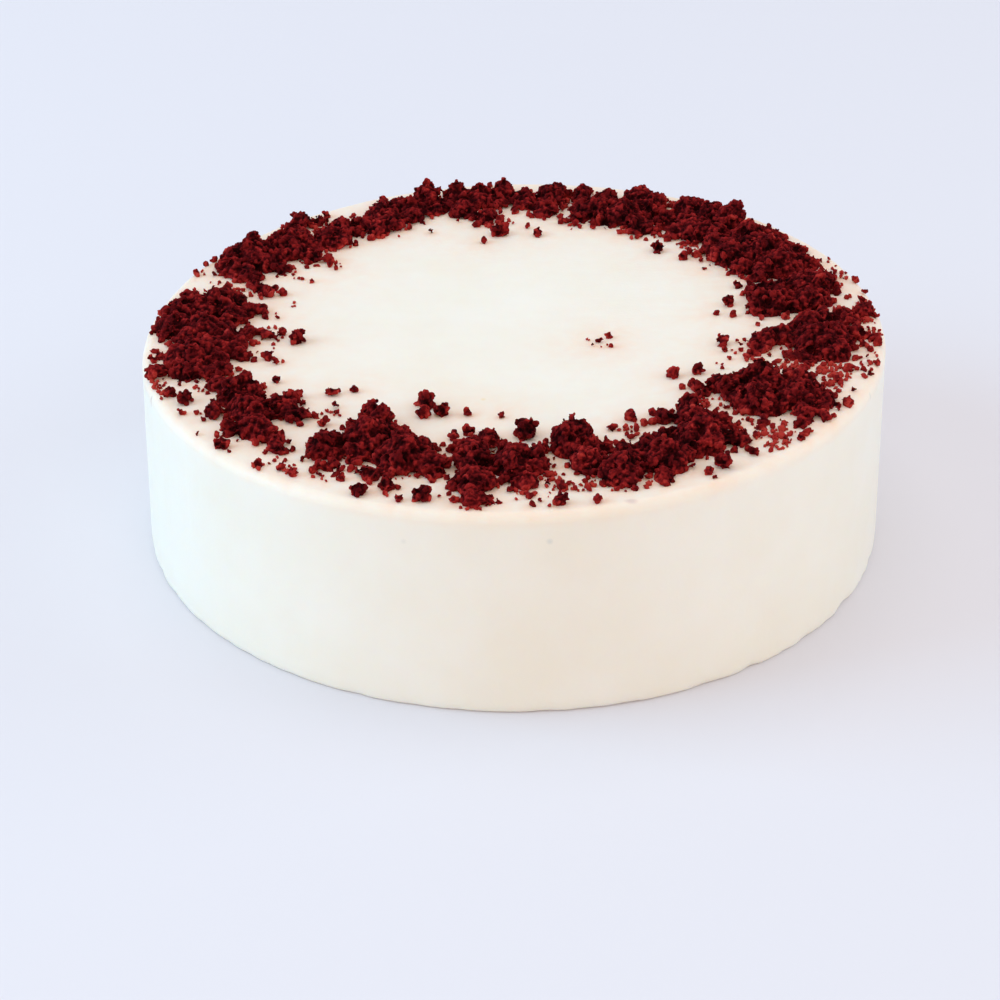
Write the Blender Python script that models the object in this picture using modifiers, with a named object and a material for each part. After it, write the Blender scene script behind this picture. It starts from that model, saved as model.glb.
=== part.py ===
"""Red velvet cake, whole and uncut.

A round cake in smooth cream cheese frosting, with a wreath of red cake crumbs heaped near the edge of its
top. The wreath is thirteen heaps, which all but touch, and stray crumbs sit in the frosting round them.

Metres, +Z up. The origin is the centre of the cake's flat base, -Y is its front and +X its right. Angles
run round the cake from +X towards +Y: 0 is the right side, 90 the back, 180 the left and 270 the front.
"""

import math
import random

import bmesh
import bpy
from mathutils import Matrix, Vector

MM = 0.001

# The cake in its frosting
BASE_RADIUS = 104.0 * MM
RIM_RADIUS = 103.5 * MM
CAKE_HEIGHT = 58.8 * MM
TOP_LEAN = math.radians(1.34)
RIM_ROUND = 2.8 * MM
RIM_STEPS = 3
FOOT_ROUND = 1.0 * MM
FOOT_STEPS = 1
TURN_STEPS = 96
TURN_MERGE = 0.01 * MM
POINT_MERGE = 0.001 * MM
FLAT_ANGLE = math.radians(0.2)
SHARP_ANGLE = math.radians(35.0)

# The heaps' gaps, and the cores that their crumbs lie on, with shares of a mound's own sizes
HEAP_GAP = 0.3 * MM
NODE_CLEARANCE = 0.25 * MM
BORDER_JITTER = 0.30 * MM
CORE_HEIGHT_SHARE = 0.75
CORE_JITTER = 0.10
BED_SWELL = 1.08
MOUND_SWELL = 1.22
BED_DETAIL = 2
MOUND_DETAIL = 1
PLAN_POWER = 3.0
PLAN_MIDDLE = 0.001

# The crumbs: the largest and the smallest in a heap, with shares of a crumb's own size
CRUMB_SIZES = (6.6 * MM, 3.6 * MM)
CRUMB_SHARE = 1.5
CRUMB_INSET = 0.35
SMALL_CRUMB = 3.4 * MM
CRUMB_REACH = 103.0 * MM
CRUMB_JITTER = 0.16
CRUMB_STRETCH = 0.18
CRUMB_TOP_SHARE = 0.45
CRUMB_LOWEST = 0.3
CRUMB_SPACING = 0.40
CRUMB_COVER = 0.13
BED_MIDDLE = 0.55
PLACING_TRIES = 60
SEED = 26

# Each heap by name: its mounds as (angle, radius, half its length along the wreath, half its width
# across it, height), in degrees and millimetres. The first is the low bed that the others stand on.
HEAPS = {
    "crumbs_left": [
        (180, 87, 26, 10, 4), (171, 94.5, 7, 5.5, 6.5), (177, 95, 6, 6.5, 6), (165.5, 96, 4, 4, 4),
        (168, 86, 8, 8, 8), (180, 87, 8, 9, 8), (189, 88, 8, 9, 7.5), (194.3, 92, 5, 5, 5.5),
        (185, 80, 7, 6, 7), (190, 76.2, 3.4, 3.2, 4.5), (172, 80, 6, 5, 6), (196, 87, 3, 3, 4),
        (196, 83.5, 3.2, 4, 5), (179.5, 74, 3.6, 4, 4), (181, 68.5, 2.8, 3, 3.5),
        (168.5, 73.5, 2.8, 2.6, 4), (186.5, 98, 3, 2.8, 4), (193.2, 100.2, 2.8, 2.9, 5.5)],
    "crumbs_left_front": [
        (212, 82.5, 14, 6.5, 4), (202.5, 83.2, 4.2, 4.6, 5), (200.3, 85, 3.2, 4.6, 5),
        (207, 82, 5.5, 6.5, 8), (214, 84, 6, 6, 7), (210, 92, 3.5, 3, 5), (212.5, 75.5, 2.5, 3.5, 5),
        (214, 72, 2, 2.6, 5), (217, 76, 3.5, 4, 5), (220.5, 76, 3.6, 4, 5), (220, 88.5, 5.5, 5, 6),
        (217, 93.5, 3, 2.6, 5), (225.3, 89, 3.6, 3, 4), (228, 91, 2.8, 2.4, 3.5)],
    "crumbs_front_left": [
        (243, 79, 17, 8, 4), (240, 76, 7, 8, 10), (249, 79, 7, 8, 9), (255, 81, 5, 5, 6),
        (234, 83, 5, 6, 7), (234.6, 69.3, 3.3, 5, 6), (234.4, 63.8, 2.2, 3, 9.5),
        (237.4, 64.5, 2.8, 3.6, 9.5), (241.5, 68.5, 2.8, 3.4, 7.5), (245.5, 70, 3.5, 3.5, 6.5),
        (253.3, 72, 1.8, 3, 4), (238.5, 91, 4.5, 4, 4), (246, 89, 5, 3, 4), (249.6, 93, 2.6, 3, 4)],
    "crumbs_front": [
        (267, 80, 11, 8, 4), (262, 75, 4.5, 8, 7), (263, 88, 5.5, 6, 6), (264.5, 96, 5, 3.5, 4.5),
        (270, 79, 4.5, 7, 8), (274.5, 77, 3.5, 6, 6), (272, 87, 4, 4, 4), (264.3, 66, 3.4, 4, 6.5),
        (259.5, 88.5, 2.5, 2.5, 4), (259.5, 71, 2.8, 3.5, 5), (268, 70.5, 2.4, 3, 4)],
    "crumbs_front_right": [
        (297, 84, 19, 6.5, 4), (280.8, 70.3, 3.6, 5, 9.3), (282.5, 69.8, 4.2, 5.4, 9.8),
        (284.3, 69.6, 4, 5.2, 9.8), (284, 80, 5, 6, 6), (288, 88, 6, 6.5, 7), (297, 86, 6.5, 7, 8),
        (306, 82, 7.5, 8, 8), (310, 74, 5, 6, 7), (312.5, 68.5, 2.2, 3.4, 9.5), (306.5, 67, 2.8, 3.2, 5.5),
        (314, 79, 4, 5, 4), (287.5, 75, 3.5, 4, 5), (291.5, 78, 4, 4, 5), (296.5, 78, 3.5, 3.5, 5.5),
        (301, 76.5, 3, 3.5, 5), (294.3, 94, 2.8, 3, 4), (311, 88.5, 3.5, 4, 5)],
    "crumbs_right_front": [
        (328, 82, 13, 9, 4), (321.5, 62.5, 2.8, 4, 5), (326.5, 68.5, 4.5, 5.5, 6), (332, 75, 5.5, 6.5, 8),
        (324, 80, 6, 8, 8), (330, 88, 7, 7, 7), (336, 84, 4, 5, 6), (331, 95.5, 6, 3.5, 4),
        (338.3, 86, 2.8, 6, 3), (325, 93, 4.5, 4.5, 4), (325.5, 98.2, 3.2, 2.6, 3.5),
        (321.5, 95.5, 3, 3.2, 3), (319, 88, 2.8, 4, 3.5)],
    "crumbs_right": [
        (352, 86, 11, 9, 4), (349.5, 68.5, 4, 5.5, 4.5), (345.3, 68, 2.2, 2.4, 3.5), (353, 74, 4, 6.5, 5.5),
        (352, 85, 7, 8, 8), (347.5, 90, 4, 4.5, 5.5), (358.5, 82, 4, 5.5, 7), (355.5, 95, 3.5, 4, 4.5),
        (361, 90, 4, 7, 6), (363.5, 98.5, 3, 3.4, 5), (345.5, 83, 3, 6, 4), (349.5, 96, 3, 3, 2.5),
        (354.7, 100.4, 2.2, 2.2, 4)],
    "crumbs_right_middle": [
        (12, 82.5, 11, 8.5, 4), (7.5, 73, 4.5, 6.5, 8), (14, 74.5, 5, 6, 7), (8, 83.5, 6, 6, 7),
        (15, 87, 7, 7, 7), (8.5, 89, 3, 3, 4), (17.3, 93.5, 2.8, 3.5, 4)],
    "crumbs_right_back": [
        (31, 84, 16, 10, 4), (25, 85, 6, 9, 7.5), (32, 87, 8, 8, 8), (38, 88, 6, 8, 8), (35, 77, 7, 6, 6.5),
        (41, 79, 5, 6, 6), (28, 75, 4, 4, 5), (22.8, 76, 2.6, 3.5, 4), (23.5, 94, 2.8, 3.5, 4.5),
        (30, 94.5, 4, 3, 4.5), (37.5, 96, 4, 3, 4), (41.3, 70.5, 2.4, 2.8, 4)],
    "crumbs_back_mound": [
        (50, 86, 12, 8, 5), (46, 92.5, 4, 5, 10.5), (50.5, 91, 4.5, 6, 9.5), (55, 91.5, 5, 6, 8),
        (49, 82, 7, 6, 7), (57, 83, 4, 5, 6), (44.5, 84, 3, 6, 6), (53, 77.5, 4, 3, 4)],
    "crumbs_back_right": [
        (69, 84, 15, 8, 4), (62, 90, 5, 6, 7), (66, 93, 4.5, 5, 8), (72, 92, 4, 4, 5), (77, 92, 3, 5, 6.5),
        (65, 82, 7, 7, 7), (73, 82, 7, 6, 6), (76, 76, 4, 3.5, 4), (60, 75.5, 4.5, 5, 5),
        (69, 76, 5, 3.5, 4)],
    "crumbs_back": [
        (103, 87.5, 33, 5.5, 4), (82.5, 91, 4.5, 6, 6.5), (83, 80.5, 4.5, 4.5, 5.5), (88, 87, 5, 7, 5),
        (92, 92, 3, 5, 8.5), (96.5, 89, 5, 6, 7), (96.5, 76.5, 3.5, 5, 4.5), (101, 91, 3.5, 5.5, 8),
        (100.5, 82, 4, 5, 5), (106.5, 92, 3.5, 5, 9), (111.5, 89, 5, 6, 5.5), (112, 82.5, 4.5, 4, 5),
        (117, 87, 5, 6, 6), (118, 80, 5, 5, 5), (123, 82, 5, 7, 6), (114.3, 94.5, 2.4, 3.8, 4.5)],
    "crumbs_back_left": [
        (143, 87, 23, 6.5, 4), (131, 97.8, 3.2, 3.4, 6.5), (128.3, 95.8, 2.6, 2.6, 4),
        (125.2, 91, 2.8, 3, 4.2), (134, 94.5, 4, 3.4, 4), (126.3, 85, 3.6, 6, 5.5), (131, 82, 6, 6.5, 6),
        (139, 87, 8, 8, 7.5), (139, 77, 3, 4, 4.5), (138.8, 73, 2.6, 2.6, 4), (147, 91, 8, 8, 8),
        (144.5, 96, 3, 3, 4.5), (149, 97.5, 3, 3, 4), (152.5, 92, 4.5, 6, 6), (154, 85, 4.5, 4.5, 5),
        (148.5, 80, 3, 3.6, 4), (157.5, 80, 2.8, 3.6, 4), (159, 76, 2.6, 3, 4)],
}

# Where one heap ends and the next begins: the angle of the line between them at its inner end and at its
# outer end, in the order of the heaps. They go on past 360 into the second turn, and the last closes it.
BORDER_RADII = (58.0 * MM, 102.0 * MM)
BORDERS = [(163.5, 159), (194, 199.5), (225, 231), (254, 260), (275.3, 278.7), (322, 312), (341, 342),
           (361, 366.5), (382, 379), (404.5, 400.5), (411, 421.5), (440, 440), (487, 481.5), (523.5, 519)]

# Stray crumbs that sit apart, as (angle, radius, size), in degrees and millimetres
STRAYS = [
    (183.5, 60.2, 4.4), (191.3, 69, 3.4), (194.6, 67.3, 2.8), (203.9, 70.4, 2.5), (200.5, 98.6, 3.4),
    (203.5, 96, 4.2), (207, 99.5, 2.6), (220.2, 99.8, 4.2), (216, 60.4, 3.6), (218.7, 55, 2.8),
    (222.6, 64.6, 2.6), (225, 66.4, 2.6), (226.9, 73.1, 3.2), (232, 96.9, 2.8), (234.6, 97.9, 2.4),
    (246.6, 98.2, 4.0), (252.8, 98.3, 2.2), (256, 96, 5.0), (241.5, 49.5, 5.4),
    (244, 55, 3.8), (248.8, 53, 5.2), (255.8, 50.5, 2.6), (266.7, 51, 2.5), (256, 64, 3.0),
    (258.6, 60.5, 3.2), (273, 61.2, 6.8), (277.8, 90.8, 3.0), (277.2, 98, 4.4), (274.1, 95.9, 2.2),
    (272.4, 94, 1.8), (272.6, 98.4, 2.0), (282.3, 98.8, 2.9), (300, 62, 3.8), (301, 66.9, 2.6),
    (293.5, 64.5, 3.0), (300.8, 97, 2.4), (301, 100, 1.8), (303.6, 96.5, 5.2), (309.9, 96.5, 3.4),
    (315.4, 94.8, 2.2), (316.7, 97.3, 2.6), (318.4, 99.8, 2.2), (326, 52, 4.4), (331, 57.2, 3.2),
    (349.7, 58.4, 3.6), (345.3, 60, 2.8), (341.5, 62.3, 1.8), (7.6, 57.4, 2.6), (12.5, 62.6, 3.4),
    (6.1, 61.9, 2.2), (49.8, 65.8, 4.4), (98.5, 59.5, 2.4), (83.5, 64.3, 3.0), (93.7, 64.8, 4.4),
    (152.3, 101.8, 2.0), (156, 100.8, 2.0), (345.9, 101.6, 2.6), (342.2, 100.6, 2.2), (342.3, 95.9, 2.0),
    (336.3, 99.3, 2.2), (334.3, 101, 1.6), (15.4, 101.4, 2.6), (11, 101.8, 1.8),
    (149.4, 67.8, 2.0), (342, 25, 2.2), (349, 27, 1.8), (335, 24, 1.6), (338, 29, 1.4),
]
STRAY_DEPTH = 0.22
FINE_CRUMBS = 12
FINE_SIZES = (2.8 * MM, 1.2 * MM)
FINE_RING = (66.0 * MM, 101.5 * MM)

FROSTING_COLOUR = (0.90, 0.84, 0.74, 1.0)
FROSTING_ROUGHNESS = 0.5
CRUMB_COLOUR = (0.12, 0.008, 0.008, 1.0)
CRUMB_ROUGHNESS = 0.9


def start_clean():
    """Removes whatever the scene holds."""
    for thing in list(bpy.data.objects):
        bpy.data.objects.remove(thing, do_unlink=True)


def new_collection(name):
    """A collection of the scene."""
    collection = bpy.data.collections.new(name)
    bpy.context.scene.collection.children.link(collection)
    return collection


def add_object(name, shape, collection):
    """An object of the finished bmesh, in a collection."""
    mesh = bpy.data.meshes.new(name)
    shape.to_mesh(mesh)
    shape.free()
    thing = bpy.data.objects.new(name, mesh)
    collection.objects.link(thing)
    return thing


def material(name, colour, roughness):
    """A plain Principled material."""
    finish = bpy.data.materials.new(name)
    finish.use_nodes = True
    shader = finish.node_tree.nodes["Principled BSDF"]
    shader.inputs["Base Color"].default_value = colour
    shader.inputs["Roughness"].default_value = roughness
    shader.inputs["Metallic"].default_value = 0.0
    return finish


def apply_modifiers(thing):
    """Puts the evaluated mesh in place of the object's own and drops its modifiers."""
    depsgraph = bpy.context.evaluated_depsgraph_get()
    finished = bpy.data.meshes.new_from_object(thing.evaluated_get(depsgraph))
    thing.modifiers.clear()
    rough = thing.data
    thing.data = finished
    bpy.data.meshes.remove(rough)


def on_cake(angle, radius, height=0.0):
    """The point at an angle and a radius, at a height above the level top."""
    turn = math.radians(angle)
    return Vector((radius * math.cos(turn), radius * math.sin(turn), CAKE_HEIGHT + height))


def arc(centre, radius, start, end, steps):
    """Points of an arc in the outline's plane, from one angle to another in degrees."""
    points = []
    for step in range(steps + 1):
        turn = math.radians(start + (end - start) * step / steps)
        points.append((centre[0] + radius * math.cos(turn), centre[1] + radius * math.sin(turn)))
    return points


def level_cake(collection):
    """The cake with a level top: half its outline, turned about the Z axis."""
    outline = [(0.0, CAKE_HEIGHT)]
    outline += arc((RIM_RADIUS - RIM_ROUND, CAKE_HEIGHT - RIM_ROUND), RIM_ROUND, 90, 0, RIM_STEPS)
    outline += arc((BASE_RADIUS - FOOT_ROUND, FOOT_ROUND), FOOT_ROUND, 0, -90, FOOT_STEPS)
    outline.append((0.0, 0.0))
    shape = bmesh.new()
    corners = [shape.verts.new((across, 0.0, up)) for across, up in outline]
    for upper, lower in zip(corners, corners[1:]):
        shape.edges.new((upper, lower))
    cake = add_object("frosted_cake", shape, collection)
    turned = cake.modifiers.new("turn", "SCREW")
    turned.steps = TURN_STEPS
    turned.render_steps = TURN_STEPS
    turned.use_merge_vertices = True
    turned.merge_threshold = TURN_MERGE
    apply_modifiers(cake)
    join_flat_faces(cake.data)
    return cake


def join_flat_faces(mesh):
    """Makes the fans of the top and of the base one face each."""
    shape = bmesh.new()
    shape.from_mesh(mesh)
    bmesh.ops.dissolve_limit(shape, angle_limit=FLAT_ANGLE, verts=shape.verts, edges=shape.edges)
    shape.to_mesh(mesh)
    shape.free()


def crumb(centre, size, draw, collection):
    """One crumb: a rough lump with twenty faces, or eight if it is a small one."""
    shape = bmesh.new()
    if size > SMALL_CRUMB:
        bmesh.ops.create_icosphere(shape, subdivisions=1, radius=size / 2)
    else:
        bmesh.ops.create_uvsphere(shape, u_segments=4, v_segments=2, radius=size / 2)
    for vertex in shape.verts:
        vertex.co *= 1.0 + draw.uniform(-CRUMB_JITTER, CRUMB_JITTER)
    stretch = [1.0 + draw.uniform(-CRUMB_STRETCH, CRUMB_STRETCH) for axis in range(3)]
    bmesh.ops.scale(shape, vec=stretch, verts=shape.verts)
    axis = Vector([draw.uniform(-1.0, 1.0) for side in range(3)])
    bmesh.ops.rotate(shape, matrix=Matrix.Rotation(draw.uniform(0.0, math.tau), 3, axis), verts=shape.verts)
    bmesh.ops.translate(shape, vec=centre, verts=shape.verts)
    add_object("crumb", shape, collection)


def plan_distance(outward, sideways):
    """Distance from the middle in a plan that is rounder than a square and fuller than a circle."""
    return (abs(outward) ** PLAN_POWER + abs(sideways) ** PLAN_POWER) ** (1.0 / PLAN_POWER)


def in_mound(row, outward, sideways, height=0.0):
    """The point at shares of a mound's half sizes: its length bends with the wreath."""
    angle, radius, along, across = row[:4]
    bend = math.degrees(sideways * along / radius)
    return on_cake(angle + bend, (radius + outward * across) * MM, height)


def mound(index, row, detail, swell, draw, collection):
    """The core of one mound: an uneven dome, whose lower half is cut away later."""
    shape = bmesh.new()
    bmesh.ops.create_icosphere(shape, subdivisions=detail, radius=1.0)
    for vertex in shape.verts:
        outward, sideways, up = vertex.co * (swell + draw.uniform(-CORE_JITTER, CORE_JITTER))
        level = math.hypot(outward, sideways)
        fullness = level / max(plan_distance(outward, sideways), PLAN_MIDDLE)
        height = up * row[4] * CORE_HEIGHT_SHARE * MM
        vertex.co = in_mound(row, outward * fullness, sideways * fullness, height)
    trim_at_borders(index, shape, draw)
    return add_object("mound", shape, collection)


def inside_mound(row, point):
    """How far out from the mound's middle a point lies, as a share of its half sizes."""
    angle, radius, along, across = row[:4]
    bend = (math.degrees(math.atan2(point.y, point.x)) - angle + 180.0) % 360.0 - 180.0
    outward = (point.to_2d().length / MM - radius) / across
    return plan_distance(outward, math.radians(bend) * radius / along)


def heap_height(rows, point):
    """The height of the whole heap over the top at a point."""
    heights = [0.0]
    for row in rows:
        share = inside_mound(row, point)
        if share < 1.0:
            heights.append(row[4] * MM * math.sqrt(1.0 - share * share))
    return max(heights)


def borders_of(index):
    """The two upright planes that a heap keeps between, each as (a point on it, its direction inwards)."""
    planes = []
    for border, side in ((BORDERS[index], 1.0), (BORDERS[index + 1], -1.0)):
        inner = on_cake(border[0], BORDER_RADII[0])
        outer = on_cake(border[1], BORDER_RADII[1])
        along = (outer - inner).normalized()
        inwards = Vector((-along.y, along.x, 0.0)) * side
        planes.append((inner + inwards * NODE_CLEARANCE, inwards))
    return planes


def trim_at_borders(index, shape, draw):
    """Cuts away what of a mound lies past its heap's borders, and closes it again."""
    for border, inwards in borders_of(index):
        point = border + inwards * draw.uniform(0.0, BORDER_JITTER)
        whole = shape.verts[:] + shape.edges[:] + shape.faces[:]
        cut = bmesh.ops.bisect_plane(shape, geom=whole, plane_co=point, plane_no=inwards, clear_inner=True)
        edges = [piece for piece in cut["geom_cut"] if isinstance(piece, bmesh.types.BMEdge)]
        bmesh.ops.holes_fill(shape, edges=edges)


def within_borders(index, point, reach):
    """Whether a crumb of this reach keeps clear of both neighbouring heaps and of the rim."""
    apart = all(inwards.dot(point - start) > reach for start, inwards in borders_of(index))
    return apart and point.to_2d().length + reach < CRUMB_REACH


def crumb_reach(size):
    """The farthest that a crumb of this size reaches from its centre."""
    return size / 2 * (1.0 + CRUMB_JITTER) * (1.0 + CRUMB_STRETCH)


def place_heap_crumbs(index, rows, draw):
    """Places for a heap's crumbs, the largest first, as (centre, size)."""
    areas = [math.pi * row[2] * row[3] for row in rows]
    middle_size = sum(CRUMB_SIZES) / 2 / MM
    count = int(CRUMB_COVER * sum(areas) / (math.pi * middle_size * middle_size / 4))
    placed = []
    for number in range(count):
        largest = CRUMB_SIZES[0] + (CRUMB_SIZES[1] - CRUMB_SIZES[0]) * math.sqrt(number / count)
        for attempt in range(PLACING_TRIES):
            row = draw.choices(rows, weights=areas)[0]
            half = min(row[2:4]) * MM
            size = min(largest, CRUMB_SHARE * half)
            outward, sideways = draw.uniform(-1.0, 1.0), draw.uniform(-1.0, 1.0)
            from_middle = plan_distance(outward, sideways)
            outermost = 1.0 - CRUMB_INSET * size / half
            if from_middle > outermost or (row is rows[0] and from_middle < BED_MIDDLE):
                continue
            centre = in_mound(row, outward, sideways)
            lift = max(heap_height(rows, centre) - CRUMB_TOP_SHARE * size, CRUMB_LOWEST * size)
            centre.z = CAKE_HEIGHT + lift
            spaced = all((centre - other).length > CRUMB_SPACING * (size + taken) for other, taken in placed)
            if spaced and within_borders(index, centre, crumb_reach(size)):
                placed.append((centre, size))
                break
    return placed


def fuse(thing, pieces):
    """Joins the pieces to the object by one union, and removes them."""
    union = thing.modifiers.new("fuse", "BOOLEAN")
    union.operation = "UNION"
    union.operand_type = "COLLECTION"
    union.collection = pieces
    union.solver = "EXACT"
    apply_modifiers(thing)
    for piece in list(pieces.objects):
        bpy.data.objects.remove(piece, do_unlink=True)
    bpy.data.collections.remove(pieces)


def cut_flat_underside(heap, cutters):
    """Cuts the heap off level, a small gap above the frosting."""
    shape = bmesh.new()
    bmesh.ops.create_cube(shape, size=2 * BASE_RADIUS)
    bmesh.ops.translate(shape, vec=(0.0, 0.0, CAKE_HEIGHT + HEAP_GAP - BASE_RADIUS), verts=shape.verts)
    block = add_object("underside_cutter", shape, cutters)
    cut = heap.modifiers.new("underside", "BOOLEAN")
    cut.operation = "DIFFERENCE"
    cut.object = block
    cut.solver = "EXACT"
    apply_modifiers(heap)
    bpy.data.objects.remove(block, do_unlink=True)


def bodies_of(shape):
    """The connected bodies of a bmesh, as lists of faces."""
    left = set(shape.faces)
    bodies = []
    while left:
        start = left.pop()
        body = [start]
        edge_of_body = [start]
        while edge_of_body:
            face = edge_of_body.pop()
            for edge in face.edges:
                for neighbour in edge.link_faces:
                    if neighbour in left:
                        left.discard(neighbour)
                        body.append(neighbour)
                        edge_of_body.append(neighbour)
        bodies.append(body)
    return bodies


def keep_one_body(mesh):
    """Drops loose scraps and fills sealed hollows: only the largest body stays."""
    shape = bmesh.new()
    shape.from_mesh(mesh)
    bmesh.ops.remove_doubles(shape, verts=shape.verts, dist=POINT_MERGE)
    bodies = sorted(bodies_of(shape), key=lambda body: sum(face.calc_area() for face in body))
    for scrap in bodies[:-1]:
        bmesh.ops.delete(shape, geom=scrap, context="FACES")
    shape.to_mesh(mesh)
    shape.free()


def lean_top(mesh):
    """Tips the top up towards +X: the base stays level and the whole lean is reached at the top."""
    for vertex in mesh.vertices:
        share = min(vertex.co.z / CAKE_HEIGHT, 1.0)
        vertex.co.z += vertex.co.x * math.tan(TOP_LEAN) * share


def make_heap(index, name, rows, collection, cutters, finish):
    """One heap: its mounds and crumbs fused, with a flat underside. Returns its crumbs' places."""
    draw = random.Random(SEED + index)
    heap = mound(index, rows[0], BED_DETAIL, BED_SWELL, draw, collection)
    heap.name = name
    pieces = new_collection("pieces_to_fuse")
    for row in rows[1:]:
        mound(index, row, MOUND_DETAIL, MOUND_SWELL, draw, pieces)
    places = place_heap_crumbs(index, rows, draw)
    for centre, size in places:
        crumb(centre, size, draw, pieces)
    fuse(heap, pieces)
    cut_flat_underside(heap, cutters)
    keep_one_body(heap.data)
    lean_top(heap.data)
    heap.data.materials.clear()
    heap.data.materials.append(finish)
    return places


def clear_of_heaps(point, reach, heap_crumbs):
    """Whether a stray crumb keeps clear of every heap's mounds and crumbs."""
    level = point.to_2d()
    for rows in HEAPS.values():
        for row in rows:
            share = inside_mound(row, point)
            swell = BED_SWELL if row is rows[0] else MOUND_SWELL
            outline = (swell + CORE_JITTER) / max(share, 1.0)
            distance = (on_cake(row[0], row[1] * MM).to_2d() - level).length
            if share < 1.0 or distance * (1.0 - outline) < reach + NODE_CLEARANCE:
                return False
    for centre, size in heap_crumbs:
        if (centre.to_2d() - level).length < reach + crumb_reach(size) + NODE_CLEARANCE:
            return False
    return True


def rim_drop(radius):
    """How far the rounded rim lies under the level top at a radius."""
    past = max(radius - (RIM_RADIUS - RIM_ROUND), 0.0)
    return RIM_ROUND - math.sqrt(RIM_ROUND * RIM_ROUND - past * past)


def stray_place(angle, radius, size):
    """The centre of a stray crumb that is sunk a little into the frosting."""
    return on_cake(angle, radius, size * (0.5 - STRAY_DEPTH) - rim_drop(radius))


def add_strays(cake, heap_crumbs):
    """Fuses the stray crumbs into the frosting: those that sit apart, then fine ones between the heaps."""
    draw = random.Random(SEED)
    pieces = new_collection("strays_to_fuse")
    placed = []
    for angle, radius, size in STRAYS:
        centre = stray_place(angle, radius * MM, size * MM)
        if clear_of_heaps(centre, crumb_reach(size * MM), heap_crumbs):
            placed.append((centre, size * MM))
    for number in range(FINE_CRUMBS):
        size = FINE_SIZES[0] + (FINE_SIZES[1] - FINE_SIZES[0]) * number / FINE_CRUMBS
        for attempt in range(PLACING_TRIES):
            centre = stray_place(draw.uniform(0.0, 360.0), draw.uniform(*FINE_RING), size)
            apart = all((centre - other).length > size + taken for other, taken in placed)
            if apart and clear_of_heaps(centre, crumb_reach(size), heap_crumbs):
                placed.append((centre, size))
                break
    for centre, size in placed:
        crumb(centre, size, draw, pieces)
    fuse(cake, pieces)


def main():
    start_clean()
    collection = new_collection("red_velvet_cake")
    cutters = new_collection("cutters")
    crumb_finish = [material(name, CRUMB_COLOUR, CRUMB_ROUGHNESS) for name in HEAPS]
    heap_crumbs = []
    for index, (name, rows) in enumerate(HEAPS.items()):
        heap_crumbs += make_heap(index, name, rows, collection, cutters, crumb_finish[index])
    cake = level_cake(collection)
    add_strays(cake, heap_crumbs)
    keep_one_body(cake.data)
    lean_top(cake.data)
    cake.data.shade_smooth()
    cake.data.set_sharp_from_angle(angle=SHARP_ANGLE)
    cake.data.materials.clear()
    cake.data.materials.append(material("frosted_cake", FROSTING_COLOUR, FROSTING_ROUGHNESS))


main()
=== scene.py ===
"""The looks of a whole red velvet cake: its smooth frosting, its wreath of crumbs and its loose grains.

Everything is in metres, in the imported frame: the origin is the centre of the flat base, +Z is up, -Y is the
front and +X the right. Angles run round the cake from +X towards +Y.
"""

import math

import bmesh
import bpy
import numpy as np
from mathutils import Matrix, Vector, noise
from mathutils.bvhtree import BVHTree
from mathutils.kdtree import KDTree


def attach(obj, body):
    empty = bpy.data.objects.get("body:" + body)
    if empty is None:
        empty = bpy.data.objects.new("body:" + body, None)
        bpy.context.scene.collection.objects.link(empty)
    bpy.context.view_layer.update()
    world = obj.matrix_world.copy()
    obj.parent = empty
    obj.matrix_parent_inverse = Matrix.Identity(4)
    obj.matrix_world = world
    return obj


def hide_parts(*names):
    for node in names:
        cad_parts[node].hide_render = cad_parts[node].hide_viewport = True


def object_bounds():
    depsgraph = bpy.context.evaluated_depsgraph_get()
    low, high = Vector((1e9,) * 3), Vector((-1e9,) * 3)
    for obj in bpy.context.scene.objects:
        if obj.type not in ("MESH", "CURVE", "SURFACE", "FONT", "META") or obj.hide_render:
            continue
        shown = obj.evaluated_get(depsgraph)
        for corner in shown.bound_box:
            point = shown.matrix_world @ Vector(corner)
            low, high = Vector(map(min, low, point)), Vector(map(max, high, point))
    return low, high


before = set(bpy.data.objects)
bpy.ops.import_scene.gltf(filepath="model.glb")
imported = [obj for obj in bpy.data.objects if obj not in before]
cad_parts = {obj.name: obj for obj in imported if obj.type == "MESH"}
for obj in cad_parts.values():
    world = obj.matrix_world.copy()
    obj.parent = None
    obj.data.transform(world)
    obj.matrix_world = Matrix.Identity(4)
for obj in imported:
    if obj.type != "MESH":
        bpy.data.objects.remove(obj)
CAD_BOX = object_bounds()

MM = 0.001

# Each kind of crumb draws its random numbers from a seed of its own; the heaps take SEED and those after it
SEED = 11
STRAY_SEED = SEED + 100
FINE_SEED = SEED + 200
GRIT_SEED = SEED + 300
EDGE_SEED = SEED + 400

# The cake's form, as in the frame
BASE_RADIUS = 104.0 * MM
RIM_RADIUS = 103.5 * MM
CAKE_HEIGHT = 58.8 * MM
TOP_LEAN = math.radians(1.34)
RIM_ROUND = 2.8 * MM
FOOT_ROUND = 1.0 * MM

# The frosting's mesh
TURN_STEPS = 400
SIDE_RINGS = 38
RIM_RINGS = 9
FOOT_RINGS = 4
OUTER_TOP_RINGS = 54
INNER_TOP_RINGS = 20
WREATH_INSIDE = 45.0 * MM
# The peach tint round the crumbs is partly their real stain and partly painted warm shade; its wider reach
# spreads the painted warm shade over more of the top
STAIN_AND_SHADE_SHARES = (0.64, 0.36)
STAIN_AND_SHADE_REACHES = (4.5 * MM, 18.0 * MM)
STAIN_AND_SHADE_DEPTH = 4.5 * MM

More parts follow.
